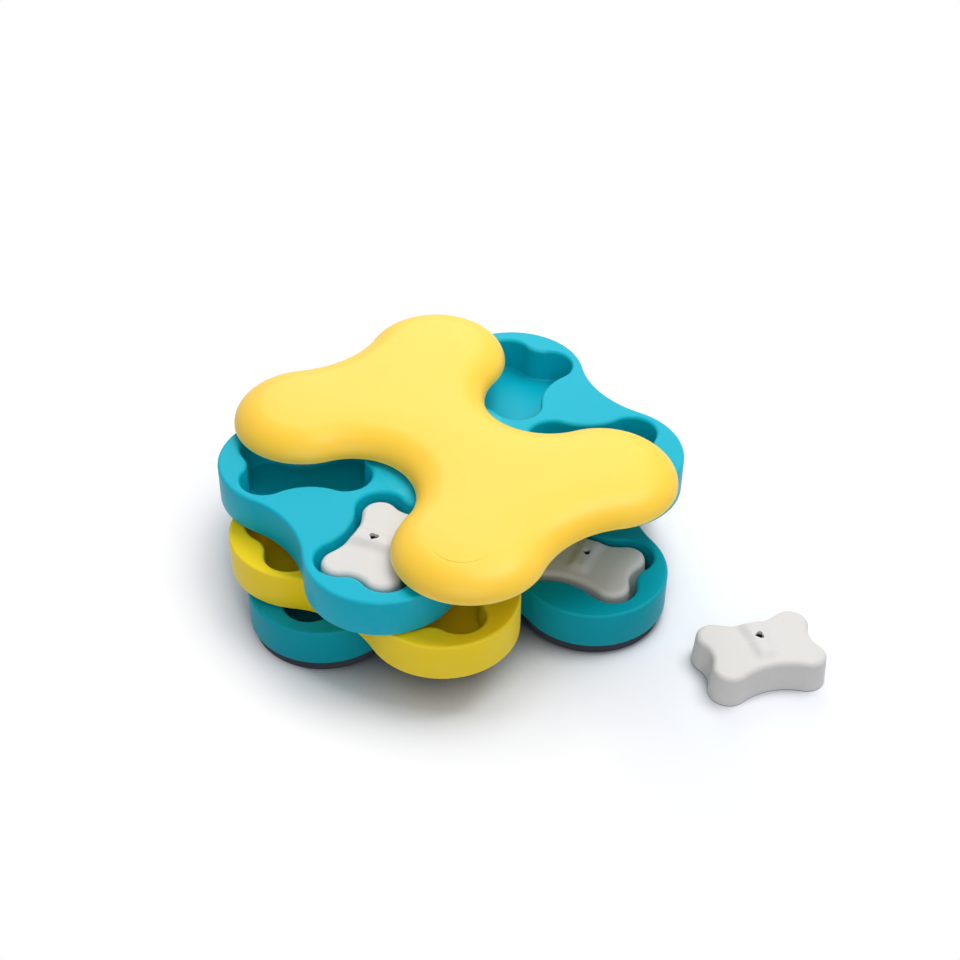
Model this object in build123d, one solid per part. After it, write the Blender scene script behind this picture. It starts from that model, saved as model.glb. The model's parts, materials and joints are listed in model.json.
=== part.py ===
from build123d import *
import os
from math import atan2, cos, degrees, hypot, radians, sin, sqrt, tan

# Dog puzzle feeder: three bone-shaped trays with treat pockets and a domed lid, stacked on one
# centre shaft, and three loose blocks that fill pockets. Millimetres, +Z up. The origin is on the
# shaft's axis at floor level. The base tray's long side lies along X.

# ---- outline shared by the three trays -------------------------------------------------------
tray_lobe_x = 75.1        # lobe centre from the axis, along the tray
tray_lobe_y = 46.4        # lobe centre from the axis, across the tray
tray_lobe_r = 41.7        # round end of each lobe
tray_end_r = 59.8         # hollow curve between the two lobes of one end
tray_waist = 41.36        # half the width at the waist
tray_height = 22.8
tray_rim_r = 1.6          # rounded top edge, also the pockets' lips
tray_foot_r = 1.2         # rounded bottom edge
middle_angle = 50.1       # how far each tier is turned at rest
upper_angle = 28.9
lid_angle = -56.3

# ---- treat pockets, one in each lobe ----------------------------------------------------------
pocket_in_x = 4.8         # pocket centre, in from the tray's lobe centre
pocket_in_y = 6.0
pocket_angle = 29.65      # the pocket's long axis points along its lobe
pocket_wall = 4.91        # thinnest wall between a pocket and the tray's outline
pocket_lobe_x = 22.4
pocket_lobe_y = 13.5
pocket_end_r = 12.0
pocket_side_r = 33.4
pocket_floor = 2.0        # floor thickness
pocket_draft = 2.5        # degrees
pocket_floor_r = 1.0      # rounded corner between wall and floor

# ---- hub: running bore, moulding core and its ribs ---------------------------------------------
hub_r = 20.0
core_wall = 2.9           # thinnest wall between the core and the waist or a pocket
core_deck = 2.8           # material left above the core
rib_count = 4
rib_thickness = 2.0
shaft_r = 9.0
running_clearance = 0.05  # radial, shaft in tray
washer_r = 14.0
washer_clearance = 0.3
washer_thickness = 1.0    # also the gap between the trays

# ---- lid ---------------------------------------------------------------------------------------
lid_lobe_x = 73.0
lid_lobe_y = 46.7
lid_lobe_r = 41.0
lid_end_r = 55.8
lid_waist = 34.26
lid_gap = 2.8             # rim above the upper tray
lid_height = 14.6
lid_round = 20.5          # how far in from the rim the top turns flat
lid_round_steps = 6
lid_wall = 3.0
lid_rib_thickness = 2.0
lid_rib_length = 92.0     # from the axis
lid_rib_rise = 3.0        # ribs stop this far above the rim
boss_bore_r = 8.0

# ---- shaft and what holds it -------------------------------------------------------------------
flange_r = 21.0
flange_thickness = 3.0
well_r = 17.0             # underside well for the retaining screw
well_depth = 11.0
shaft_below_hub = 3.0     # shaft end below the hub's underside
thrust_r = 14.5
thrust_thickness = 1.5
spring_inner_r = 10.0
spring_outer_r = 13.5
spring_thickness = 0.8
screw_r = 3.0
screw_length = 20.0
screw_head_r = 5.5
screw_head_height = 3.5
screw_socket_r = 2.3
screw_socket_depth = 2.0
screw_clearance = 0.1
screw_head_edge_r = 1.2
screw_hole_spare = 1.0    # the shaft's screw hole is this much deeper than the screw
flange_screw_count = 3
flange_screw_pitch_r = 17.0
flange_screw_r = 1.5
flange_screw_length = 10.0
flange_screw_head_r = 3.0
flange_screw_head_height = 1.6

# ---- feet --------------------------------------------------------------------------------------
foot_height = 6.5
foot_inset = 2.2          # inside the lobe's outline
foot_edge_r = 1.0
plug_r = 21.0             # rubber plug that closes the well and stands on the floor
plug_spigot = 2.0
plug_clearance = 0.1

# ---- loose blocks ------------------------------------------------------------------------------
block_inset_x = 0.2       # how much nearer its centre a block's lobes are than its pocket's
block_inset_y = 1.0
block_clearance = 3.4     # a block's lobes are this much smaller in radius than its pocket's
block_end_r = 14.0
block_side_r = 36.5
block_height = 19.2
block_draft = 3.0         # degrees
block_top_r = 2.6
block_wall = 2.2
ridge_rise = 2.3
ridge_width = 16.0        # at the ridge's foot
ridge_top_width = 6.0
ridge_foot_slope = 0.12   # how steeply the ridge leaves the block's top
ridge_length = 27.6
heart_width = 5.4
heart_y = 4.5             # from the block's centre, along the ridge
upper_block_shift = (-1.3, 0.4)    # seated block from its pocket's centre, in the tray's own axes
base_block_shift = (0.4, 1.9)
loose_block_x = 158.3     # block standing on the floor
loose_block_y = -105.8
loose_block_angle = 9.2

# ---- heights that follow -----------------------------------------------------------------------
base_z = foot_height
middle_z = base_z + tray_height + washer_thickness
upper_z = middle_z + tray_height + washer_thickness
upper_top_z = upper_z + tray_height
lid_z = upper_top_z + lid_gap
flange_z = upper_top_z + washer_thickness
boss_z = flange_z + flange_thickness
hub_under_z = base_z + well_depth
shaft_end_z = hub_under_z - shaft_below_hub
thrust_z = shaft_end_z - thrust_thickness


def waist_curve_r(lobe_x, lobe_y, lobe_r, waist):
    """Radius of the hollow curve that touches two lobes and leaves this half-width at the waist."""
    drop = lobe_y - waist
    return (lobe_x**2 + drop**2 - lobe_r**2) / (2 * (lobe_r + drop))


class Bone:
    """Outline of four convex lobes joined by four hollow curves, tangent all the way round."""

    def __init__(self, lobe_x, lobe_y, lobe_r, end_r, side_r):
        self.lobe_x, self.lobe_y = lobe_x, lobe_y
        self.lobe_r, self.end_r, self.side_r = lobe_r, end_r, side_r
        self.end_x = lobe_x + sqrt((lobe_r + end_r) ** 2 - lobe_y**2)
        self.side_y = lobe_y + sqrt((lobe_r + side_r) ** 2 - lobe_x**2)

    def face(self, grow=0.0, z=0.0):
        """The outline moved outwards by grow, as a flat face at height z."""
        end_half = degrees(atan2(self.lobe_y, self.end_x - self.lobe_x))
        side_half = degrees(atan2(self.lobe_x, self.side_y - self.lobe_y))
        lobe_start, lobe_sweep = -end_half, 90 + side_half + end_half
        quarter = [
            CenterArc((self.lobe_x, self.lobe_y), self.lobe_r + grow, lobe_start, lobe_sweep),
            CenterArc((0, self.side_y), self.side_r - grow, -90, side_half),
            CenterArc((self.end_x, 0), self.end_r - grow, 180 - end_half, end_half),
        ]
        half = quarter + [mirror(edge, Plane.YZ) for edge in quarter]
        edges = half + [mirror(edge, Plane.XZ) for edge in half]
        return Pos(0, 0, z) * make_face(Wire.combine(edges)[0].edges())


def pocket_lobe(side_x, side_y):
    """Centre of one of the four lobes of the pocket in the tray's lobe at +x +y."""
    turn, x, y = radians(pocket_angle), side_x * pocket_lobe_x, side_y * pocket_lobe_y
    return pocket_x + x * cos(turn) - y * sin(turn), pocket_y + x * sin(turn) + y * cos(turn)


four_lobes = [(sx, sy) for sx in (1, -1) for sy in (1, -1)]
tray_side_r = waist_curve_r(tray_lobe_x, tray_lobe_y, tray_lobe_r, tray_waist)
lid_side_r = waist_curve_r(lid_lobe_x, lid_lobe_y, lid_lobe_r, lid_waist)
tray_outline = Bone(tray_lobe_x, tray_lobe_y, tray_lobe_r, tray_end_r, tray_side_r)
lid_outline = Bone(lid_lobe_x, lid_lobe_y, lid_lobe_r, lid_end_r, lid_side_r)

# a pocket's lobes leave the wall to the tray's lobe and to its two hollow curves
pocket_x, pocket_y = tray_lobe_x - pocket_in_x, tray_lobe_y - pocket_in_y
pocket_lobes = [pocket_lobe(side_x, side_y) for side_x in (1, -1) for side_y in (1, -1)]
lobe_room = min(tray_lobe_r - hypot(x - tray_lobe_x, y - tray_lobe_y) for x, y in pocket_lobes[:2])
waist_room = min(hypot(x, y - tray_outline.side_y) - tray_side_r for x, y in pocket_lobes)
end_room = min(hypot(x - tray_outline.end_x, y) - tray_end_r for x, y in pocket_lobes)
pocket_lobe_r = min(lobe_room, waist_room, end_room) - pocket_wall
pocket_outline = Bone(pocket_lobe_x, pocket_lobe_y, pocket_lobe_r, pocket_end_r, pocket_side_r)

# the hub's core leaves its wall to the waist and to the pockets
pocket_from_axis = min(hypot(x, y) for x, y in pocket_lobes) - pocket_lobe_r
core_r = min(tray_waist, pocket_from_axis) - core_wall
block_outline = Bone(
    pocket_lobe_x - block_inset_x,
    pocket_lobe_y - block_inset_y,
    pocket_lobe_r - block_clearance,
    block_end_r,
    block_side_r,
)


def turned(angle):
    return Rot(0, 0, angle)


def disc(radius, low_z, high_z):
    return Pos(0, 0, low_z) * Cylinder(radius, high_z - low_z, align=(Align.CENTER, Align.CENTER, Align.MIN))


def ring(outer_r, inner_r, low_z, high_z):
    return disc(outer_r, low_z, high_z) - disc(inner_r, low_z, high_z)


def tapered(outline, low_z, low_grow, high_z, high_grow):
    """Solid between the outline at two heights, each grown by its own amount."""
    return loft([outline.face(low_grow, low_z), outline.face(high_grow, high_z)], ruled=True)


# ---- trays -------------------------------------------------------------------------------------
def pocket_tool(top_z):
    """What one pocket takes out of a tray: drafted walls and a rounded floor corner."""
    floor_z = top_z - tray_height + pocket_floor
    draft_in = (top_z - floor_z) * tan(radians(pocket_draft))
    tool = tapered(pocket_outline, floor_z, -draft_in, top_z, 0)
    return fillet(tool.faces().sort_by(Axis.Z)[0].edges(), pocket_floor_r)


def tray(bottom_z, well=False):
    """One tray at its height, not turned: skirt, four pockets, hub bore and cored underside."""
    top_z = bottom_z + tray_height
    body = extrude(tray_outline.face(0, bottom_z), tray_height)
    tool = pocket_tool(top_z)
    for sx, sy in four_lobes:
        body -= Pos(sx * pocket_x, sy * pocket_y) * turned(sx * sy * pocket_angle) * tool
    body = fillet(body.faces().sort_by(Axis.Z)[-1].edges(), tray_rim_r)
    body = fillet(body.faces().sort_by(Axis.Z)[0].edges(), tray_foot_r)
    core = ring(core_r, hub_r, bottom_z, top_z - core_deck)
    for i in range(rib_count):
        core -= turned(i * 360 / rib_count) * Pos(core_r / 2, 0, bottom_z) * Box(
            core_r, rib_thickness, tray_height, align=(Align.CENTER, Align.CENTER, Align.MIN)
        )
    body -= core
    body -= disc(shaft_r + running_clearance, bottom_z, top_z)
    if well:
        body -= disc(well_r, bottom_z, bottom_z + well_depth)
    return body


# ---- lid ---------------------------------------------------------------------------------------
def pillow(inset, height, round_in):
    """The lid's form: upright at the rim, turning over a quarter ellipse into a flat top."""
    sections = []
    for i in range(lid_round_steps + 1):
        angle = radians(90 * i / lid_round_steps)
        grow = -inset - round_in * (1 - cos(angle))
        sections.append(lid_outline.face(grow, lid_z + height * sin(angle)))
    return loft(sections)


def lid_shell():
    skin = pillow(0, lid_height, lid_round)
    cavity = pillow(lid_wall, lid_height - lid_wall, lid_round - lid_wall / 2)
    inside_top = lid_z + lid_height
    filling = disc(flange_r, boss_z, inside_top)
    for sx, sy in four_lobes:
        lobe_angle = degrees(atan2(sy * lid_lobe_y, sx * lid_lobe_x))
        filling += turned(lobe_angle) * Pos(lid_rib_length / 2, 0, lid_z + lid_rib_rise) * Box(
            lid_rib_length, lid_rib_thickness, lid_height, align=(Align.CENTER, Align.CENTER, Align.MIN)
        )
    filling -= disc(boss_bore_r, boss_z, inside_top - lid_wall)
    shell = skin - cavity + (filling & cavity)
    for x, y in flange_screw_places():
        shell -= Pos(x, y) * disc(flange_screw_r + screw_clearance, boss_z, flange_z + flange_screw_length)
    return shell


# ---- shaft, screws, washers and spring ---------------------------------------------------------
def flange_screw_places():
    turns = [radians(360 * i / flange_screw_count + 90) for i in range(flange_screw_count)]
    return [(flange_screw_pitch_r * cos(t), flange_screw_pitch_r * sin(t)) for t in turns]


def flange_screw(grow=0.0):
    """Countersunk self-tapping screw on the axis; grow gives the hole that it sits in."""
    profile = Polyline(
        (0, flange_z),
        (flange_screw_head_r + grow, flange_z),
        (flange_screw_r + grow, flange_z + flange_screw_head_height),
        (flange_screw_r + grow, flange_z + flange_screw_length - flange_screw_r),
        (0, flange_z + flange_screw_length),
        close=True,
    )
    return revolve(Plane.XZ * make_face(profile), Axis.Z)


def centre_shaft():
    shaft = disc(shaft_r, shaft_end_z, flange_z) + disc(flange_r, flange_z, boss_z)
    shaft -= disc(screw_r + running_clearance, shaft_end_z, thrust_z + screw_length + screw_hole_spare)
    for x, y in flange_screw_places():
        shaft -= Pos(x, y) * flange_screw(screw_clearance)
        shaft -= Pos(x, y) * disc(flange_screw_r + screw_clearance, flange_z, boss_z)
    return shaft


def glide_washer(low_z):
    return ring(washer_r, shaft_r + washer_clearance, low_z, low_z + washer_thickness)


def disc_spring():
    """Coned spring washer between the lowest glide washer and the thrust washer."""
    high_z = hub_under_z - washer_thickness
    profile = Polyline(
        (spring_inner_r, shaft_end_z),
        (spring_inner_r, shaft_end_z + spring_thickness),
        (spring_outer_r, high_z),
        (spring_outer_r, high_z - spring_thickness),
        close=True,
    )
    return revolve(Plane.XZ * make_face(profile), Axis.Z)


def retaining_screw():
    head = disc(screw_head_r, thrust_z - screw_head_height, thrust_z)
    head = fillet(head.edges().sort_by(Axis.Z)[:1], screw_head_edge_r)
    socket = extrude(
        Pos(0, 0, thrust_z - screw_head_height) * RegularPolygon(screw_socket_r, 6), screw_socket_depth
    )
    return head + disc(screw_r, thrust_z, thrust_z + screw_length) - socket


# ---- feet --------------------------------------------------------------------------------------
def foot_pad(x, y):
    pad = disc(tray_lobe_r - foot_inset, 0, foot_height)
    return Pos(x, y) * fillet(pad.edges().sort_by(Axis.Z)[:1], foot_edge_r)


def well_plug():
    flange = disc(plug_r, 0, foot_height)
    flange = fillet(flange.edges().sort_by(Axis.Z)[:1], foot_edge_r)
    return flange + disc(well_r - plug_clearance, foot_height, foot_height + plug_spigot)


# ---- loose blocks ------------------------------------------------------------------------------
def heart(width):
    """Heart outline: a square on its corner with a half disc on each of its two upper sides."""
    side = width / (1 + sqrt(0.5))
    body = turned(45) * Rectangle(side, side)
    shift = side * sqrt(0.5) / 2
    return body + Pos(shift, shift) * Circle(side / 2) + Pos(-shift, shift) * Circle(side / 2)


def ridge(height, shrink):
    """Ridge across the waist: a bell-shaped section drawn out along Y and turned round at its ends."""
    foot, top = ridge_width / 2 - shrink, ridge_top_width / 2 - shrink
    reach = ridge_length / 2 - ridge_width / 2
    slope = Spline(
        (foot, height), (top, height + ridge_rise), tangents=[(-1, ridge_foot_slope), (-1, 0)]
    )
    half = make_face([
        slope,
        Line((top, height + ridge_rise), (0, height + ridge_rise)),
        Line((0, height + ridge_rise), (0, height - block_wall)),
        Line((0, height - block_wall), (foot, height - block_wall)),
        Line((foot, height - block_wall), (foot, height)),
    ])
    section = Plane.XZ * (half + mirror(half, Plane.YZ))
    end = revolve(Plane.XZ * half, Axis.Z)
    return extrude(section, reach, both=True) + Pos(0, reach) * end + Pos(0, -reach) * end


def block():
    """Hollow block, open below: drafted walls, rounded top edge, ridge with a heart-shaped hole."""
    draft_in = block_height * tan(radians(block_draft))
    outside = tapered(block_outline, 0, 0, block_height, -draft_in)
    outside = fillet(outside.faces().sort_by(Axis.Z)[-1].edges(), block_top_r)
    inside_height = block_height - block_wall
    inside_in = draft_in * inside_height / block_height
    inside = tapered(block_outline, 0, -block_wall, inside_height, -block_wall - inside_in)
    body = outside + ridge(block_height, 0) - inside - ridge(inside_height, block_wall / 2)
    hole = extrude(Pos(0, heart_y, inside_height) * turned(-90) * heart(heart_width), block_height)
    return body - hole


def build():
    parts = {
        "base_tray": tray(base_z, well=True),
        "middle_tray": turned(middle_angle) * tray(middle_z),
        "upper_tray": turned(upper_angle) * tray(upper_z),
        "lid_shell": turned(lid_angle) * lid_shell(),
        "centre_shaft": turned(lid_angle) * centre_shaft(),
        "shaft_screws": Compound(
            [turned(lid_angle) * Pos(x, y) * flange_screw() for x, y in flange_screw_places()]
        ),
        "thrust_washer": ring(thrust_r, screw_r + screw_clearance, thrust_z, shaft_end_z),
        "disc_spring": disc_spring(),
        "retaining_screw": retaining_screw(),
        "well_plug": well_plug(),
    }
    washer_heights = [hub_under_z - washer_thickness, middle_z - washer_thickness, upper_z - washer_thickness]
    for number, low_z in enumerate(washer_heights + [upper_top_z], start=1):
        parts[f"glide_washer_{number}"] = glide_washer(low_z)
    for number, (sx, sy) in enumerate(four_lobes, start=1):
        parts[f"foot_pad_{number}"] = foot_pad(sx * tray_lobe_x, sy * tray_lobe_y)
    one_block = block()
    base_x, base_y = pocket_x + base_block_shift[0], -pocket_y + base_block_shift[1]
    upper_x, upper_y = -pocket_x + upper_block_shift[0], -pocket_y + upper_block_shift[1]
    base_seat = Pos(base_x, base_y, base_z + pocket_floor) * turned(-pocket_angle)
    upper_seat = Pos(upper_x, upper_y, upper_z + pocket_floor) * turned(pocket_angle)
    parts["base_block"] = base_seat * one_block
    parts["upper_block"] = turned(upper_angle) * upper_seat * one_block
    parts["loose_block"] = Pos(loose_block_x, loose_block_y) * turned(loose_block_angle) * one_block
    return parts


os.makedirs("parts", exist_ok=True)
for node, shape in build().items():
    export_step(shape, f"parts/{node}.step")
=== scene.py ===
# %% [markdown]
# # A dog puzzle feeder, dressed in Blender
#
# The toy is a stack of bone-shaped trays that turn on one shaft under a domed lid. The CAD model
# already holds every piece at its real size. This lesson gives the moulded pieces their soft edges
# and their satin plastic, and puts the toy on a pale studio floor. All lengths are in metres.

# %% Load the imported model
import json
from math import atan2, cos, pi, radians, sin, sqrt, tan

import bmesh
import bpy
from mathutils import Matrix, Vector
from mathutils.bvhtree import BVHTree


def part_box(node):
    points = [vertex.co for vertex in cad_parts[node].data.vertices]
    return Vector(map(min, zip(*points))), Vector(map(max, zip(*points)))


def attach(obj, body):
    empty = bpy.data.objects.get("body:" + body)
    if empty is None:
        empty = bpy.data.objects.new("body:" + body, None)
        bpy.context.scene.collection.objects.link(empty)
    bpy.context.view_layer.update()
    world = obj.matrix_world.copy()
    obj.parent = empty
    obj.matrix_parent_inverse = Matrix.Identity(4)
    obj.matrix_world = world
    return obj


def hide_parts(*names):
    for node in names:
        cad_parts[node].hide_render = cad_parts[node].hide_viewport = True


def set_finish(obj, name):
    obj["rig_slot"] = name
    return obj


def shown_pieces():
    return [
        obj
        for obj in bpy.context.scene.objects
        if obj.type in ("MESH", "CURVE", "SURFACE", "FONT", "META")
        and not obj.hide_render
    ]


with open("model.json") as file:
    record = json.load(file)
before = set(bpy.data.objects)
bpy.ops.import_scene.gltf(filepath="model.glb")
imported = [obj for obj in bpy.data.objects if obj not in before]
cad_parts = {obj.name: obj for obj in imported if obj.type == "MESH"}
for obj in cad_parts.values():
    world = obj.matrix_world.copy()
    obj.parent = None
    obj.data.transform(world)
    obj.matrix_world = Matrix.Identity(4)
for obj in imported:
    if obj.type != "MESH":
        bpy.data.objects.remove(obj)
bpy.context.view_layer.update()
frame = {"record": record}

mm = 0.001
up = Vector((0, 0, 1))

# %% [markdown]
# ## Sizes
#
# Every moulded piece has the same kind of outline: four round lobes joined by four hollow curves.
# Five lengths describe it. The heights come from the CAD boxes, so a piece sits where its node sits.

# %% Driving sizes
tray_sizes = dict(lobe_x=75.1 * mm, lobe_y=46.4 * mm, lobe_r=41.7 * mm, end_r=59.8 * mm, side_r=42.0 * mm)
lid_sizes = dict(lobe_x=73.0 * mm, lobe_y=46.7 * mm, lobe_r=41.0 * mm, end_r=55.8 * mm, side_r=35.6 * mm)
pocket_sizes = dict(lobe_x=22.4 * mm, lobe_y=13.5 * mm, lobe_r=14.24 * mm, end_r=12.0 * mm, side_r=33.4 * mm)
block_sizes = dict(lobe_x=22.2 * mm, lobe_y=12.5 * mm, lobe_r=10.84 * mm, end_r=14.0 * mm, side_r=36.5 * mm)
pocket_place = (70.3 * mm, 40.4 * mm)
pocket_angle = radians(29.65)
tier_angles = {"base_tray": 0.0, "middle_tray": radians(50.1), "upper_tray": radians(28.9)}
lid_angle = radians(-56.3)
four_lobes = [(sx, sy) for sx in (1, -1) for sy in (1, -1)]

# %% [markdown]
# ## Carrying a profile along arcs
#
# A moulded wall could be a stack of outlines with faces bridged between them, but two bridged
# outlines can be joined one vertex out of step. Here the wall's upright profile is drawn once and
# carried along the outline by spins, each about its own arc's centre, so the faces are regular and
# the curves stay tangent. A spin with a shift and no angle makes a straight run. One quarter is
# enough: it is mirrored twice.


# %% Moves, and the carrying itself
weld_reach = 1e-6


def arc(centre, angle, steps):
    """A move round a centre."""
    return dict(cent=centre, angle=angle, steps=steps)


def run(x, y):
    """A straight move."""
    return dict(cent=(0, 0, 0), dvec=(x, y, 0), angle=0.0, steps=1)


def carry(bm, points, moves, mirrors="XY"):
    """Carries a row of points along the moves, leaves faces behind and mirrors them."""
    before = set(bm.verts)
    verts = [bm.verts.new(point) for point in points]
    moving = verts + [bm.edges.new(pair) for pair in zip(verts, verts[1:])]
    for move in moves:
        moving = bmesh.ops.spin(bm, geom=moving, axis=up, use_merge=False, **move)["geom_last"]
    for axis in mirrors:
        made = [v for v in bm.verts if v not in before]
        edges = {e for v in made for e in v.link_edges}
        faces = {f for v in made for f in v.link_faces}
        geom = made + list(edges) + list(faces)
        bmesh.ops.mirror(bm, geom=geom, matrix=Matrix(), merge_dist=weld_reach, axis=axis)


# %% The bone outline
end_share = 0.4
side_share = 0.5


class Bone:
    """Four round lobes at (+-lobe_x, +-lobe_y), joined by hollow curves at the ends and the sides."""

    def __init__(self, lobe_x, lobe_y, lobe_r, end_r, side_r):
        self.lobe = Vector((lobe_x, lobe_y, 0))
        self.end = Vector((lobe_x + sqrt((lobe_r + end_r) ** 2 - lobe_y**2), 0, 0))
        self.side = Vector((0, lobe_y + sqrt((lobe_r + side_r) ** 2 - lobe_x**2), 0))
        self.start_x = self.end.x - end_r
        self.waist = self.side.y - side_r

    def wall(self, bm, profile, fine):
        """Carries (grow, z) pairs round the outline; fine is the number of faces round one lobe."""
        end_half = atan2(self.lobe.y, self.end.x - self.lobe.x)
        side_half = atan2(self.lobe.x, self.side.y - self.lobe.y)
        moves = [
            arc(self.end, -end_half, round(fine * end_share)),
            arc(self.lobe, pi / 2 + side_half + end_half, fine),
            arc(self.side, -side_half, round(fine * side_share)),
        ]
        carry(bm, [(self.start_x + grow, 0, z) for grow, z in profile], moves)


tray_bone = Bone(**tray_sizes)
lid_bone = Bone(**lid_sizes)
pocket_bone = Bone(**pocket_sizes)
block_bone = Bone(**block_sizes)
for label, bone in (("tray", tray_bone), ("lid", lid_bone), ("pocket", pocket_bone), ("block", block_bone)):
    print(f"{label}: half a waist is {bone.waist / mm:.1f} mm")

# %% [markdown]
# ## Rounded edges, flat faces and turned parts
#
# A rounded edge is a few profile points on a quarter ellipse. A flat face closes all the open edges
# at its height, with the holes left out. A turned part is a full spin, welded where it ends.


# %% Rounded edges
def quarter_round(start, end, leaves, steps):
    """(grow, z) pairs on a quarter ellipse from start to end, which leaves start upright or flat."""
    start_grow, start_z = start
    end_grow, end_z = end
    pairs = []
    for i in range(steps + 1):
        t = pi / 2 * i / steps
        quick, slow = sin(t), 1 - cos(t)
        across, rise = (slow, quick) if leaves == "upright" else (quick, slow)
        pairs.append((start_grow + (end_grow - start_grow) * across, start_z + (end_z - start_z) * rise))
    return pairs


# %% Closing, turning and welding
same_height = 1e-7


def at_height(vert, z):
    return abs(vert.co.z - z) < same_height


def open_edges(bm, z):
    """The open edges that lie flat at one height."""
    return [e for e in bm.edges if e.is_boundary and all(at_height(v, z) for v in e.verts)]


def close_flat(bm, z, normal=up):
    """Flat faces between all the open edges at one height."""
    bmesh.ops.triangle_fill(bm, use_beauty=True, edges=open_edges(bm, z), normal=normal)


def turn(bm, profile, steps=72):
    """Turns (radius, z) pairs round the shaft's axis."""
    verts = [bm.verts.new((r, 0, z)) for r, z in profile]
    edges = [bm.edges.new(pair) for pair in zip(verts, verts[1:])]
    full = arc((0, 0, 0), 2 * pi, steps)
    bmesh.ops.spin(bm, geom=verts + edges, axis=up, use_merge=True, **full)


def cap_holes(bm):
    """One face over each hole."""
    bmesh.ops.holes_fill(bm, edges=[e for e in bm.edges if e.is_boundary], sides=0)


def weld(bm):
    """Merges doubled vertices and points every face outwards."""
    bmesh.ops.remove_doubles(bm, verts=bm.verts, dist=weld_reach)
    bmesh.ops.recalc_face_normals(bm, faces=bm.faces)


def add_bar(bm, low, high, angle):
    """A plain bar between two corners, turned about the shaft's axis."""
    size, middle = Vector(high) - Vector(low), (Vector(high) + Vector(low)) / 2
    place = Matrix.Rotation(angle, 4, "Z") @ Matrix.Translation(middle) @ Matrix.Diagonal((*size, 1))
    bmesh.ops.create_cube(bm, size=1, matrix=place)


# %% Keeping a form as a mesh, and copying it in
def as_mesh(bm, name):
    """Stores a bmesh in a new mesh and frees it."""
    mesh = bpy.data.meshes.new(name)
    bm.to_mesh(mesh)
    bm.free()
    return mesh


def add_copy(bm, mesh, place):
    """Adds a copy of the mesh, moved by the matrix."""
    before = set(bm.verts)
    bm.from_mesh(mesh)
    bmesh.ops.transform(bm, matrix=place, verts=[v for v in bm.verts if v not in before])


def show(mesh):
    """Puts a mesh into the scene as an object at the origin."""
    shown = bpy.data.objects.new(mesh.name, mesh)
    bpy.context.collection.objects.link(shown)
    return shown


# %% From a bmesh to a dressed-up object
sharp_angle = radians(35)


def finish_piece(bm, name, body, slot):
    """Makes the moulded piece that stands for the node of this name."""
    for face in bm.faces:
        face.smooth = True
    gaps = sum(1 for e in bm.edges if not e.is_manifold)
    volume = bm.calc_volume(signed=True) / mm**3
    mesh = as_mesh(bm, name + "_moulded")
    mesh.set_sharp_from_angle(angle=sharp_angle)
    piece = show(mesh)
    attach(piece, body)
    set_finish(piece, slot)
    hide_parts(name)
    print(f"{name}: {len(mesh.polygons)} faces, {gaps} open edges, {volume:.0f} mm3")


# %% [markdown]
# ## The trays
#
# The real trays are moulded plastic cups: a flat deck with four pockets, soft lips, a rounded rim
# and an underside cored out round the hub. The pocket is made once and copied into each lobe. Each
# lip ends in a narrow flat band, so that the deck's long triangles never bend the shading.

# %% Pocket and lip sizes
tray_fine = 30
pocket_fine = 18
edge_steps = 6
corner_steps = 4
rim_round = 1.6 * mm
lip_round = 2.1 * mm
lip_lean = 0.4 * mm
foot_round = 1.2 * mm
flat_band = 0.25 * mm
pocket_floor = 2.0 * mm
pocket_draft = radians(2.5)
floor_round = 1.6 * mm


def pocket_mesh(top_z, floor_z):
    """One pocket about its own centre: lip, drafted wall and rounded floor corner."""
    bm = bmesh.new()
    wall_in = tan(pocket_draft) * (top_z - floor_z)
    floor_in = wall_in + floor_round
    lip_out = lip_round - lip_lean
    lip = quarter_round((lip_out, top_z), (-lip_lean, top_z - lip_round), "flat", edge_steps)
    corner = quarter_round((-wall_in, floor_z + floor_round), (-floor_in, floor_z), "upright", corner_steps)
    profile = [(lip_out + flat_band, top_z)] + lip + corner + [(-floor_in - flat_band, floor_z)]
    pocket_bone.wall(bm, profile, pocket_fine)
    close_flat(bm, floor_z)
    return as_mesh(bm, "pocket")


# %% Hub sizes and the cored underside
hub_r = 20.0 * mm
core_r = 38.45 * mm
core_deck = 2.8 * mm
bore_r = 9.05 * mm
well_r = 17.0 * mm
well_depth = 11.0 * mm
rib_count = 4
rib_thickness = 2.0 * mm
rib_bite = 0.2 * mm
corner_cut = 0.4 * mm


def hub_profile(bottom_z, top_z, well):
    """(radius, z) pairs from the underside's opening, up the core, down the hub and up the bore."""
    deck_z = top_z - core_deck
    core = [(core_r + corner_cut, bottom_z), (core_r, bottom_z + corner_cut), (core_r, deck_z)]
    hub = [(hub_r, deck_z), (hub_r, bottom_z + corner_cut), (hub_r - corner_cut, bottom_z)]
    if well:
        well_z = bottom_z + well_depth
        mouth = [(well_r, bottom_z), (well_r, well_z), (bore_r, well_z)]
    else:
        mouth = [(bore_r + corner_cut, bottom_z), (bore_r, bottom_z + corner_cut)]
    return core + hub + mouth + [(bore_r, top_z - corner_cut), (bore_r + corner_cut, top_z)]


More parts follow.
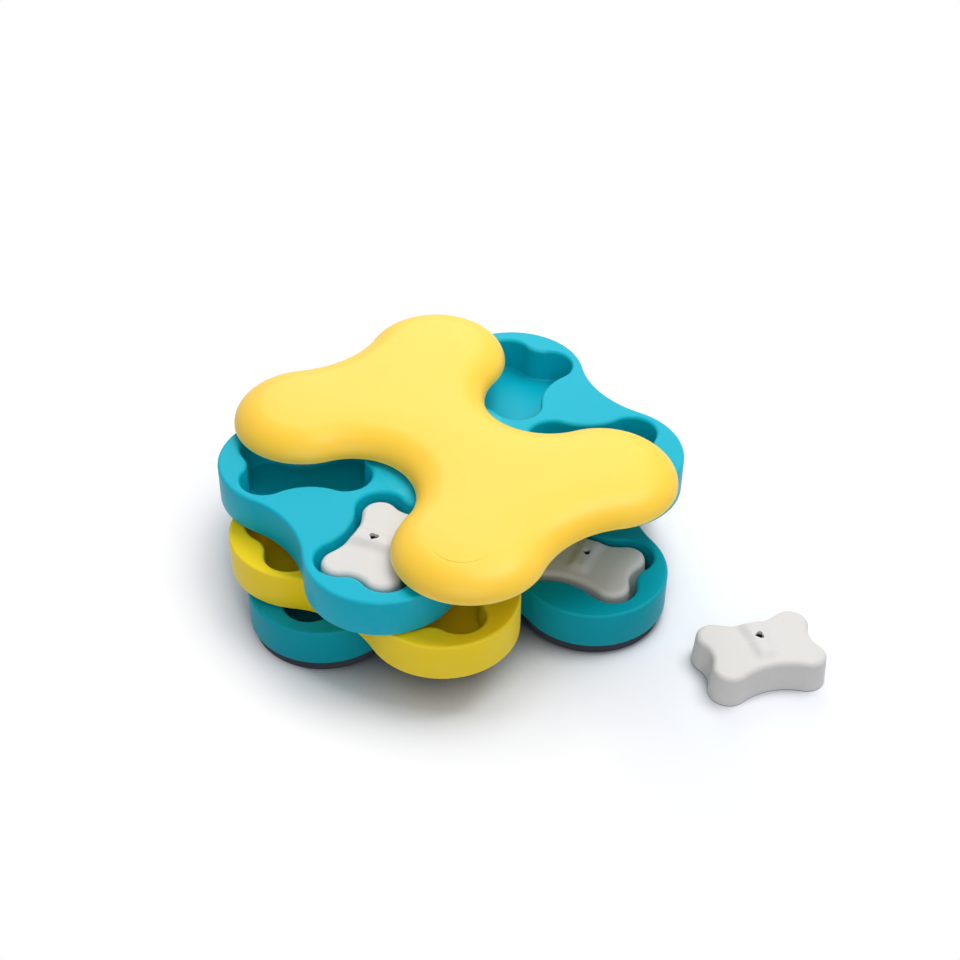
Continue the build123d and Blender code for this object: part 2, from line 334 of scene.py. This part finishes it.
# %% Build the three trays
def build_tray(name, body, slot, well=False):
    low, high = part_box(name)
    bottom_z, top_z = low.z, high.z
    bm = bmesh.new()
    rim = quarter_round((0, top_z - rim_round), (-rim_round, top_z), "upright", edge_steps)
    foot = quarter_round((-foot_round, bottom_z), (0, bottom_z + foot_round), "flat", corner_steps)
    profile = [(-foot_round - flat_band, bottom_z)] + foot + rim + [(-rim_round - flat_band, top_z)]
    tray_bone.wall(bm, profile, tray_fine)
    turn(bm, hub_profile(bottom_z, top_z, well))
    pocket = pocket_mesh(top_z, bottom_z + pocket_floor)
    for sx, sy in four_lobes:
        place = Matrix.Translation((sx * pocket_place[0], sy * pocket_place[1], 0))
        add_copy(bm, pocket, place @ Matrix.Rotation(sx * sy * pocket_angle, 4, "Z"))
    bpy.data.meshes.remove(pocket)
    close_flat(bm, top_z)
    close_flat(bm, bottom_z, normal=-up)
    weld(bm)
    for i in range(rib_count):
        add_bar(
            bm,
            (hub_r - rib_bite, -rib_thickness / 2, bottom_z + corner_cut),
            (core_r + rib_bite, rib_thickness / 2, top_z - core_deck + rib_bite),
            angle=i * 2 * pi / rib_count,
        )
    bmesh.ops.rotate(bm, verts=bm.verts, cent=(0, 0, 0), matrix=Matrix.Rotation(tier_angles[name], 3, "Z"))
    finish_piece(bm, name, body, slot)


build_tray("base_tray", "base", "teal_plastic", well=True)
build_tray("middle_tray", "middle", "yellow_plastic")
build_tray("upper_tray", "upper", "teal_plastic")

# %% [markdown]
# ## The lid
#
# The lid is a thin shell. Its rim stands nearly upright for a moment and then rolls over a long
# quarter ellipse into a top that is only slightly crowned. One profile runs from the inner roof
# down to the rim and up over the outside, so the whole shell is carried round in one go.
#
# A fine arc is carved into the front lobe. Its cutter is a rod bent by a spin. Each of its vertices
# asks the skin how high it is below, by a ray from above, so the groove keeps its depth along the
# middle and fades out at both ends.

# %% Lid sizes
lid_fine = 36
lid_round_steps = 12
roof_round_steps = 8
crown_steps = 4
lid_wall = 3.0 * mm
lid_round = 20.5 * mm
lid_crown = 0.7 * mm
crown_reach = 11.5 * mm
rim_edge = 0.5 * mm
rim_soft = 0.1 * mm
boss_r = 21.0 * mm
boss_bore_r = 8.0 * mm
lid_rib_reach = 92.0 * mm
lid_rib_rise = 3.0 * mm


def lid_skin(rim_z, top_z, inset, round_in, steps):
    """(grow, z) pairs from the rim over the rounded edge to the crowned top."""
    pairs = quarter_round((-inset, rim_z), (-inset - round_in, top_z - lid_crown), "upright", steps)
    for i in range(1, crown_steps + 1):
        t = i / crown_steps
        pairs.append((-inset - round_in - crown_reach * t, top_z - lid_crown * (1 - t) ** 2))
    return pairs


# %% The groove's cutter
groove_place = (76.0 * mm, -53.8 * mm)
groove_r = 16.7 * mm
groove_start = radians(-108)
groove_span = radians(120)
groove_half = 0.65 * mm
groove_depth = 0.45 * mm
groove_run_out = 0.06 * mm
groove_steps = 48
groove_sides = 12


def groove_cutter(skin):
    """A bent rod that follows the skin's top along the groove and rises clear of it at both ends."""
    centre = Vector((*groove_place, 0))
    start = Matrix.Translation(centre) @ Matrix.Rotation(groove_start, 4, "Z")
    start = start @ Matrix.Translation((groove_r, 0, 0)) @ Matrix.Rotation(pi / 2, 4, "X")
    bm = bmesh.new()
    bmesh.ops.create_circle(bm, segments=groove_sides, radius=groove_half, matrix=start)
    ring = bm.verts[:] + bm.edges[:]
    bend = arc(centre, groove_span, groove_steps)
    bmesh.ops.spin(bm, geom=ring, axis=up, use_merge=False, **bend)
    cap_holes(bm)
    bmesh.ops.recalc_face_normals(bm, faces=bm.faces)
    surface = BVHTree.FromBMesh(skin)
    for vert in bm.verts:
        away = vert.co - centre
        along = ((atan2(away.y, away.x) - groove_start) % (2 * pi)) / groove_span
        on_arc = centre + Vector((away.x, away.y, 0)).normalized() * groove_r
        top = surface.ray_cast(on_arc + up, -up)[0].z
        swell = sqrt(sin(pi * min(max(along, 0.0), 1.0)))
        vert.co.z += top + groove_half + groove_run_out - (groove_depth + groove_run_out) * swell
    return bm


# %% Carving one form out of another
def carved(skin, tool):
    """The skin with the tool cut out of it."""
    skin_object = show(as_mesh(skin, "skin"))
    tool_object = show(as_mesh(tool, "tool"))
    cut = skin_object.modifiers.new("cut", "BOOLEAN")
    cut.operation = "DIFFERENCE"
    cut.solver = "EXACT"
    cut.object = tool_object
    result = bmesh.new()
    result.from_object(skin_object, bpy.context.evaluated_depsgraph_get())
    for used in (skin_object, tool_object):
        mesh = used.data
        bpy.data.objects.remove(used)
        bpy.data.meshes.remove(mesh)
    print(f"carved: {len(result.faces)} faces")
    return result


# %% The boss that the shaft's flange is screwed to
def boss_mesh(low_z, top_z):
    bm = bmesh.new()
    ring = [(boss_bore_r, top_z), (boss_bore_r, low_z), (boss_r, low_z), (boss_r, top_z)]
    turn(bm, ring + ring[:1])
    weld(bm)
    return as_mesh(bm, "boss")


# %% Build the lid
low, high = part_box("lid_shell")
roof_z = high.z - lid_wall
bm = bmesh.new()
outside = lid_skin(low.z + rim_edge, high.z, 0, lid_round, lid_round_steps)
inside = lid_skin(low.z + rim_edge, roof_z, lid_wall, lid_round - lid_wall / 2, roof_round_steps)
rim = [(-lid_wall + rim_edge, low.z + rim_soft), (-lid_wall / 2, low.z), (-rim_edge, low.z + rim_soft)]
lid_bone.wall(bm, inside[::-1] + rim + outside, lid_fine)
close_flat(bm, high.z)
close_flat(bm, roof_z, normal=-up)
weld(bm)
bm = carved(bm, groove_cutter(bm))
boss_top_z = roof_z + rib_bite
boss = boss_mesh(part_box("centre_shaft")[1].z, boss_top_z)
bm.from_mesh(boss)
bpy.data.meshes.remove(boss)
for sx, sy in four_lobes:
    add_bar(
        bm,
        (boss_r - rib_bite, -rib_thickness / 2, low.z + lid_rib_rise),
        (lid_rib_reach, rib_thickness / 2, boss_top_z - lid_crown),
        angle=atan2(sy * lid_bone.lobe.y, sx * lid_bone.lobe.x),
    )
bmesh.ops.rotate(bm, verts=bm.verts, cent=(0, 0, 0), matrix=Matrix.Rotation(lid_angle, 3, "Z"))
finish_piece(bm, "lid_shell", "lid", "yellow_plastic")

# %% [markdown]
# ## The loose blocks
#
# A block is a hollow cup turned upside down. A bell-shaped ridge to pinch runs across its top. It
# widens and runs out over the back edge, and slopes down before the front one. Such a form can't be
# carried along arcs, so the flat top and the roof inside are first filled with rings that shrink
# towards the middle. Then every vertex up there is lifted by the height that the ridge has at its
# place. The heart-shaped hole is carved through the top and the roof.

# %% Block sizes
block_fine = 36
block_round_steps = 8
block_height = 19.2 * mm
block_draft = radians(3)
block_top_round = 3.2 * mm
block_wall = 2.2 * mm
foot_cut = 0.4 * mm
foot_soft = 0.05 * mm

# %% The ridge
top_rings = 16
ridge_rise = 2.3 * mm
ridge_foot = 8.0 * mm
ridge_top = 2.2 * mm
ridge_front = 13.5 * mm
ridge_slope_run = 7.0 * mm
ridge_flare = 0.35


def eased(t):
    """0 below 0, 1 above 1 and a smooth rise between them."""
    t = min(max(t, 0.0), 1.0)
    return t * t * (3 - 2 * t)


def ridge_lift(x, y, foot):
    """How high the ridge is at one place of the block's top."""
    widened = 1 + ridge_flare * max(0, y / block_bone.waist) ** 2
    across = eased((foot - abs(x) / widened) / (foot - ridge_top))
    return ridge_rise * across * eased((y + ridge_front) / ridge_slope_run)


def fill_with_rings(bm, z):
    """Closes the open loop at this height with rings that shrink towards the middle."""
    edges = open_edges(bm, z)
    for left in range(top_rings, 1, -1):
        made = bmesh.ops.extrude_edge_only(bm, edges=edges)["geom"]
        verts = [item for item in made if isinstance(item, bmesh.types.BMVert)]
        bmesh.ops.scale(bm, vec=((left - 1) / left,) * 2 + (1,), verts=verts)
        edges = [item for item in made if isinstance(item, bmesh.types.BMEdge) and item.is_boundary]
    bmesh.ops.holes_fill(bm, edges=edges, sides=0)


# %% The heart-shaped hole's cutter
heart_width = 5.4 * mm
heart_y = 4.5 * mm
heart_steps = 12


def heart_cutter():
    """A heart-shaped prism, a square with half a disc on two sides; its point looks towards -X."""
    side = heart_width / (1 + sqrt(0.5))
    shift = side * sqrt(0.5) / 2
    low_z, high_z = block_height / 2, 2 * block_height
    bm = bmesh.new()
    moves = [run(2 * shift, 2 * shift), arc((shift, shift, 0), pi, heart_steps)]
    carry(bm, [(0, -2 * shift, low_z), (0, -2 * shift, high_z)], moves, mirrors="X")
    cap_holes(bm)
    place = Matrix.Translation((0, heart_y, 0)) @ Matrix.Rotation(-pi / 2, 4, "Z")
    bmesh.ops.transform(bm, matrix=place, verts=bm.verts)
    weld(bm)
    return bm


# %% One block, standing at the origin
def block_mesh():
    bm = bmesh.new()
    draft_in = tan(block_draft) * block_height
    round_z = block_height - block_top_round
    top_edge = (-draft_in - block_top_round, block_height)
    roof_z = block_height - block_wall
    outside = [(-block_wall / 2, 0), (-foot_cut, foot_soft), (0, foot_cut)]
    outside += quarter_round((-draft_in, round_z), top_edge, "upright", block_round_steps)
    inside = [(-block_wall - draft_in, roof_z), (-block_wall, foot_cut), (-block_wall + foot_cut, foot_soft)]
    block_bone.wall(bm, inside + outside, block_fine)
    weld(bm)
    fill_with_rings(bm, block_height)
    walls_and_top = set(bm.verts)
    fill_with_rings(bm, roof_z)
    for vert in bm.verts:
        x, y, z = vert.co
        if vert not in walls_and_top or at_height(vert, roof_z):
            vert.co.z += ridge_lift(x, y, ridge_foot - block_wall / 2)
        elif z > round_z:
            vert.co.z += (z - round_z) / block_top_round * ridge_lift(x, y, ridge_foot)
    weld(bm)
    return as_mesh(carved(bm, heart_cutter()), "block")


# %% Build the three blocks
block_places = {
    "base_block": ((70.7 * mm, -38.5 * mm), -pocket_angle, 0.0),
    "upper_block": ((-71.6 * mm, -40.0 * mm), pocket_angle, tier_angles["upper_tray"]),
    "loose_block": ((158.3 * mm, -105.8 * mm), radians(9.2), 0.0),
}
one_block = block_mesh()
for name, ((x, y), angle, tier) in block_places.items():
    bm = bmesh.new()
    place = Matrix.Rotation(tier, 4, "Z") @ Matrix.Translation((x, y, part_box(name)[0].z))
    add_copy(bm, one_block, place @ Matrix.Rotation(angle, 4, "Z"))
    finish_piece(bm, name, name, "white_plastic")
bpy.data.meshes.remove(one_block)

# %% [markdown]
# ## The rubber feet
#
# Each foot is a turned disc. Spinning a short profile gives the disc and its soft bottom edge.

# %% Build the feet
foot_edge = 1.0 * mm
foot_r = 39.5 * mm
foot_steps = 96
for number in range(1, len(four_lobes) + 1):
    name = f"foot_pad_{number}"
    low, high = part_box(name)
    bm = bmesh.new()
    edge = quarter_round((foot_r - foot_edge, low.z), (foot_r, low.z + foot_edge), "flat", corner_steps)
    turn(bm, [(0, low.z)] + edge + [(foot_r, high.z), (0, high.z)], steps=foot_steps)
    weld(bm)
    middle = (low + high) / 2
    bmesh.ops.translate(bm, verts=bm.verts, vec=(middle.x, middle.y, 0))
    finish_piece(bm, name, "base", "foot_rubber")

# %% [markdown]
# ## Shader maths in Python
#
# A material is a graph of nodes. Writing it as expressions keeps it readable: the class below wraps
# one socket, and + - * on it add the Math nodes.


# %% Sockets as numbers
class Value:
    """One output socket of a node tree; arithmetic on it adds Math nodes."""

    def __init__(self, tree, socket):
        self.tree, self.socket = tree, socket

    def math(self, operation, *others, swap=False):
        """Adds one Math node."""
        node = self.tree.nodes.new("ShaderNodeMath")
        node.operation = operation
        terms = [self, *others]
        if swap:
            terms.reverse()
        for slot_in, term in zip(node.inputs, terms):
            feed(self.tree, slot_in, term)
        return Value(self.tree, node.outputs[0])

    def __add__(self, other):
        return self.math("ADD", other)

    def __radd__(self, other):
        return self.math("ADD", other)

    def __sub__(self, other):
        return self.math("SUBTRACT", other)

    def __rsub__(self, other):
        return self.math("SUBTRACT", other, swap=True)

    def __mul__(self, other):
        return self.math("MULTIPLY", other)

    def __rmul__(self, other):
        return self.math("MULTIPLY", other)

    def clamp(self):
        return self.math("MAXIMUM", 0.0).math("MINIMUM", 1.0)

    def above(self, start, gain):
        """0 up to the start, then a rise with this gain up to 1."""
        return ((self - start) * gain).clamp()


def feed(tree, socket, term):
    """Links a socket, or sets its number or colour."""
    if isinstance(term, Value):
        tree.links.new(term.socket, socket)
    else:
        socket.default_value = term


# %% A finish under construction
class Finish:
    """The node tree of a material, or of the world."""

    def __init__(self, owner):
        self.owner = owner
        owner.use_nodes = True
        self.tree = owner.node_tree
        self.tree.nodes.clear()

    def node(self, kind, inputs=None, output=0, **settings):
        """Adds a node: first its settings, then its sockets by name or number."""
        made = self.tree.nodes.new("ShaderNode" + kind)
        for key, value in settings.items():
            setattr(made, key, value)
        for key, value in (inputs or {}).items():
            feed(self.tree, made.inputs[key], value)
        return Value(self.tree, made.outputs[output])

    def noise(self, scale, detail=3.0, roughness=0.5, stretch=None):
        """Noise on Object coordinates; the scale is in waves per metre."""
        where = self.node("TexCoord", output="Object")
        if stretch:
            where = self.node("Mapping", {"Vector": where, "Scale": stretch})
        inputs = {"Vector": where, "Scale": scale, "Detail": detail, "Roughness": roughness}
        return self.node("TexNoise", inputs)

    def mix(self, factor, first, second):
        """A colour between two colours."""
        return self.node("Mix", {0: factor, 6: first, 7: second}, output=2, data_type="RGBA")

    def bump(self, strength, distance, height):
        """A normal that follows small heights."""
        return self.node("Bump", {"Strength": strength, "Distance": distance, "Height": height})

    def mixed_shader(self, factor, first, second):
        return self.node("MixShader", {0: factor, 1: first, 2: second})

    def looked_at(self):
        """1 for the camera and for mirroring or clear surfaces, 0 for light that bounces softly."""
        camera = self.node("LightPath", output="Is Camera Ray")
        glossy = self.node("LightPath", output="Is Glossy Ray")
        transmission = self.node("LightPath", output="Is Transmission Ray")
        return (camera + glossy + transmission).clamp()

    def surface(self, fixed, **linked):
        """Ends the material in one Principled shader."""
        inputs = {**fixed, **{key.replace("_", " "): value for key, value in linked.items()}}
        self.end(self.node("BsdfPrincipled", inputs))
        return self.owner

    def end(self, shader, kind="Material"):
        """Links a shader to the output."""
        out = self.tree.nodes.new("ShaderNodeOutput" + kind)
        feed(self.tree, out.inputs[0], shader)


# %% Colours as they are seen
def linear(red, green, blue):
    """A colour given as 0 to 255 display values, in the linear values that a shader takes."""

    def channel(value):
        value /= 255
        return value / 12.92 if value <= 0.04045 else ((value + 0.055) / 1.055) ** 2.4

    return (channel(red), channel(green), channel(blue), 1.0)


# %% [markdown]
# ## Satin moulded plastic
#
# The toy's plastic is satin, and the yellow lets a little light into itself. Under a soft light it
# has hardly any texture, but it is never perfectly even: the colour drifts a little, the moulding
# texture breaks up the gloss, and lips and rims are paler, partly from polish where teeth and paws
# meet them and partly as a painted highlight along the edges. Pointiness finds them.

# %% The plastic
plastic_rough = 0.42
drift_scale = 9.0
rub_scale = 160.0
scuff_scale = 70.0
plastic_grain = 2600.0
plastic_glow = {"Subsurface Scale": 4.0 * mm, "Subsurface Radius": (1.0, 0.9, 0.3)}


def plastic(name, colour, shade, pale, gloss, wear_and_highlight_strength=0.6, depth=0.0):
    """Satin plastic; gloss is its sheen, the edge strength pales its edges with wear and a painted
    highlight, and depth is the light it lets in.
    """
    finish = Finish(bpy.data.materials.new(name))
    drift = finish.noise(drift_scale, detail=2.0)
    base = finish.mix(drift.above(0.35, gain=2.2), shade, colour)
    edge = finish.node("NewGeometry", output="Pointiness")
    rubbed = finish.noise(rub_scale, detail=4.0)
    # Paler edges: partly wear, partly a painted highlight on the rounded lips and rims.
    wear_and_highlight = (edge.above(0.515, gain=14.0) * (rubbed * 1.4).clamp() * wear_and_highlight_strength).clamp()
    base = finish.mix(wear_and_highlight, base, pale)
    grain = finish.noise(plastic_grain, detail=2.0)
    scuff = finish.noise(scuff_scale, detail=6.0, roughness=0.7, stretch=(1.0, 9.0, 1.0))
    scratch = scuff.above(0.66, gain=9.0)
    unevenness = (grain - 0.5) * 0.10 + (drift - 0.5) * 0.08 + scratch * 0.12
    bump = finish.bump(0.06, 0.2 * mm, grain * 0.25 + scratch * -0.35)
    fixed = {"IOR": 1.49, "Specular IOR Level": gloss, "Subsurface Weight": depth, **plastic_glow}
    roughness = plastic_rough + unevenness - wear_and_highlight * 0.10
    return finish.surface(fixed, Base_Color=base, Roughness=roughness, Normal=bump)


# %% The toy's colours
teal = plastic(
    "teal_satin_plastic",
    colour=linear(1, 178, 199),
    shade=linear(0, 172, 193),
    pale=linear(110, 224, 232),
    gloss=0.12,
    wear_and_highlight_strength=0.8,
)
# A darker copy of the teal for the base tray: painted shade for its low place under the other trays.
teal_in_painted_shade = plastic(
    "deep_teal_satin_plastic",
    colour=linear(0, 158, 174),
    shade=linear(0, 150, 166),
    pale=linear(70, 200, 206),
    gloss=0.08,
)
lid_yellow = plastic(
    "lid_yellow_satin_plastic",
    colour=linear(255, 206, 58),
    shade=linear(254, 202, 51),
    pale=linear(255, 234, 136),
    gloss=0.5,
    wear_and_highlight_strength=0.9,
    depth=0.3,
)
tray_yellow = plastic(
    "tray_yellow_satin_plastic",
    colour=linear(255, 218, 30),
    shade=linear(254, 214, 26),
    pale=linear(255, 238, 140),
    gloss=0.12,
    wear_and_highlight_strength=0.9,
    depth=0.4,
)
white = plastic(
    "white_satin_plastic",
    colour=linear(216, 212, 207),
    shade=linear(211, 207, 202),
    pale=linear(236, 235, 233),
    gloss=0.2,
)
print("plastics:", [made.name for made in (teal, teal_in_painted_shade, lid_yellow, tray_yellow, white)])

# %% [markdown]
# ## Rubber, bearing plastic and steel
#
# The feet are dull rubber with a fine tooth. The parts on the shaft hardly show, but they get their
# own finishes: waxy bearing plastic and plain plated steel.


# %% Rubber
def rubber(name):
    finish = Finish(bpy.data.materials.new(name))
    dust = finish.noise(scale=38.0, detail=5.0)
    tooth = finish.noise(scale=1500.0)
    base = finish.mix(dust.above(0.4, gain=1.6), linear(52, 56, 64), linear(72, 76, 84))
    bump = finish.bump(0.2, 0.3 * mm, tooth)
    fixed = {"IOR": 1.5, "Specular IOR Level": 0.3}
    return finish.surface(fixed, Base_Color=base, Roughness=0.78 + (tooth - 0.5) * 0.2, Normal=bump)


# %% Bearing plastic and steel
def bearing_plastic(name):
    finish = Finish(bpy.data.materials.new(name))
    cloud = finish.noise(scale=60.0)
    base = finish.mix(cloud, linear(214, 212, 202), linear(230, 228, 220))
    grain = finish.noise(scale=1800.0, detail=2.0)
    bump = finish.bump(0.08, 0.2 * mm, grain)
    return finish.surface({"IOR": 1.48}, Base_Color=base, Roughness=0.42 + (grain - 0.5) * 0.12, Normal=bump)


def plated_steel(name):
    finish = Finish(bpy.data.materials.new(name))
    stain = finish.noise(scale=120.0, detail=4.0)
    base = finish.mix(stain, linear(168, 170, 174), linear(196, 198, 202))
    grain = finish.noise(scale=2200.0, detail=2.0)
    bump = finish.bump(0.1, 0.1 * mm, grain)
    return finish.surface({"Metallic": 1.0}, Base_Color=base, Roughness=0.32 + stain * 0.15, Normal=bump)


foot_rubber = rubber("foot_rubber_dull")
acetal = bearing_plastic("bearing_plastic_waxy")
steel = plated_steel("plated_steel")
print("other finishes:", [made.name for made in (foot_rubber, acetal, steel)])

# %% Dress every piece
piece_finish = {
    "base_tray_moulded": teal_in_painted_shade,
    "middle_tray_moulded": tray_yellow,
    "upper_tray_moulded": teal,
    "lid_shell_moulded": lid_yellow,
}
slot_finish = {"white_plastic": white, "foot_rubber": foot_rubber, "acetal": acetal, "steel": steel}
node_slots = {entry["node"]: entry["material_slot"] for entry in frame["record"]["subparts"]}
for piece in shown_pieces():
    slot_name = piece.get("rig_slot") or node_slots[piece.name]
    piece.data.materials.clear()
    piece.data.materials.append(piece_finish.get(piece.name) or slot_finish[slot_name])

# %% [markdown]
# ## Studio
#
# The floor is pale and turns white away from the toy, but keeps the shadows close to it. In the
# narrow gaps under the toy its colour is darkened too, a painted shade. That is how the camera and
# mirroring surfaces see it. For the light that bounces softly it is duller, so the upright walls
# stay deep in colour. The main lamp stands high on the right. A wide one behind the toy lays a haze
# on every top face, and a dim sky and a lamp in front fill the rest.

# %% The floor
floor_half = 6.0
toy_spot = ((0.015, 0.02), 0.145, 0.185)
block_spot = ((0.165, -0.12), 0.065, 0.11)
painted_shade_reach = 60 * mm
bm = bmesh.new()
bmesh.ops.create_grid(bm, x_segments=2, y_segments=2, size=floor_half)
floor = show(as_mesh(bm, "floor"))
floor_finish = Finish(bpy.data.materials.new("floor_paper"))
where = floor_finish.node("TexCoord", output="Object")


def fade(place, near, far):
    """0 within the near distance of a place on the floor, 1 beyond the far one."""
    offset = floor_finish.node("VectorMath", {0: where, 1: (*place, 0)}, operation="SUBTRACT")
    away = floor_finish.node("VectorMath", {0: offset}, output="Value", operation="LENGTH")
    return away.above(near, gain=1 / (far - near))


white_out = fade(*toy_spot) * fade(*block_spot)
# Painted shade: where the occlusion finds the toy close overhead, the floor's colour turns to a dark
# blue-grey.
painted_shade_mask = floor_finish.node("AmbientOcclusion", {"Distance": painted_shade_reach}, output="AO", samples=16)
painted_gap_shade = floor_finish.node("BsdfDiffuse", {"Color": linear(60, 72, 96)})
paper = floor_finish.node("BsdfDiffuse", {"Color": linear(243, 243, 246)})
dull_paper = floor_finish.node("BsdfDiffuse", {"Color": linear(196, 196, 199)})
glow = floor_finish.node("Emission", {"Color": (1, 1, 1, 1), "Strength": 1.0})
paper_and_painted_shade = floor_finish.mixed_shader(painted_shade_mask.above(0.2, gain=2.5), painted_gap_shade, paper)
seen = floor_finish.mixed_shader(white_out, paper_and_painted_shade, glow)
floor_finish.end(floor_finish.mixed_shader(floor_finish.looked_at(), dull_paper, seen))
floor.data.materials.append(floor_finish.owner)
print("the floor keeps its shadows within", toy_spot[1], "m of the toy's middle")

# %% The sky
sky = Finish(bpy.data.worlds.new("sky"))
bpy.context.scene.world = sky.owner
dim_sky = sky.node("Background", {"Color": (0.86, 0.92, 1.0, 1.0), "Strength": 0.5})
white_sky = sky.node("Background", {"Color": (1.0, 1.0, 1.0, 1.0), "Strength": 1.0})
sky.end(sky.mixed_shader(sky.looked_at(), dim_sky, white_sky), kind="World")
print("the sky has", len(sky.tree.nodes), "nodes")


# %% Lamps
def soft_lamp(name, place, width, watts):
    """A round lamp that looks at the toy."""
    data = bpy.data.lights.new(name, "AREA")
    data.shape = "DISK"
    data.size = width
    data.energy = watts
    lamp = bpy.data.objects.new(name, data)
    lamp.location = place
    lamp.rotation_euler = Vector(place).to_track_quat("Z", "Y").to_euler()
    bpy.context.collection.objects.link(lamp)
    print(f"{name}: {watts} W, {Vector(place).length:.2f} m from the toy")


soft_lamp("high_right", place=(0.54, 0.14, 1.39), width=0.95, watts=12.0)
soft_lamp("haze_back", place=(0.12, 1.30, 1.05), width=1.2, watts=8.0)
soft_lamp("front_fill", place=(-0.2, -1.6, 1.2), width=1.4, watts=7.5)

# %% Camera
focal_px = 1702.5
frame_px = 960
aim_px = (451.5, 557.0)
distance = 998.3 * mm
elevation = radians(41.37)
azimuth = radians(-5.03)
aim_z = 0.7 * mm
lens = bpy.data.cameras.new("camera")
lens.sensor_width = 36.0
lens.lens = focal_px / frame_px * lens.sensor_width
lens.shift_x = (frame_px / 2 - aim_px[0]) / frame_px
lens.shift_y = (aim_px[1] - frame_px / 2) / frame_px
camera = bpy.data.objects.new("camera", lens)
back = Vector((sin(azimuth) * cos(elevation), -cos(azimuth) * cos(elevation), sin(elevation)))
camera.location = Vector((0, 0, aim_z)) + back * distance
camera.rotation_euler = back.to_track_quat("Z", "Y").to_euler()
bpy.context.collection.objects.link(camera)
bpy.context.scene.camera = camera
bpy.context.scene.view_settings.view_transform = "Standard"
print("camera at", [round(v, 4) for v in camera.location])
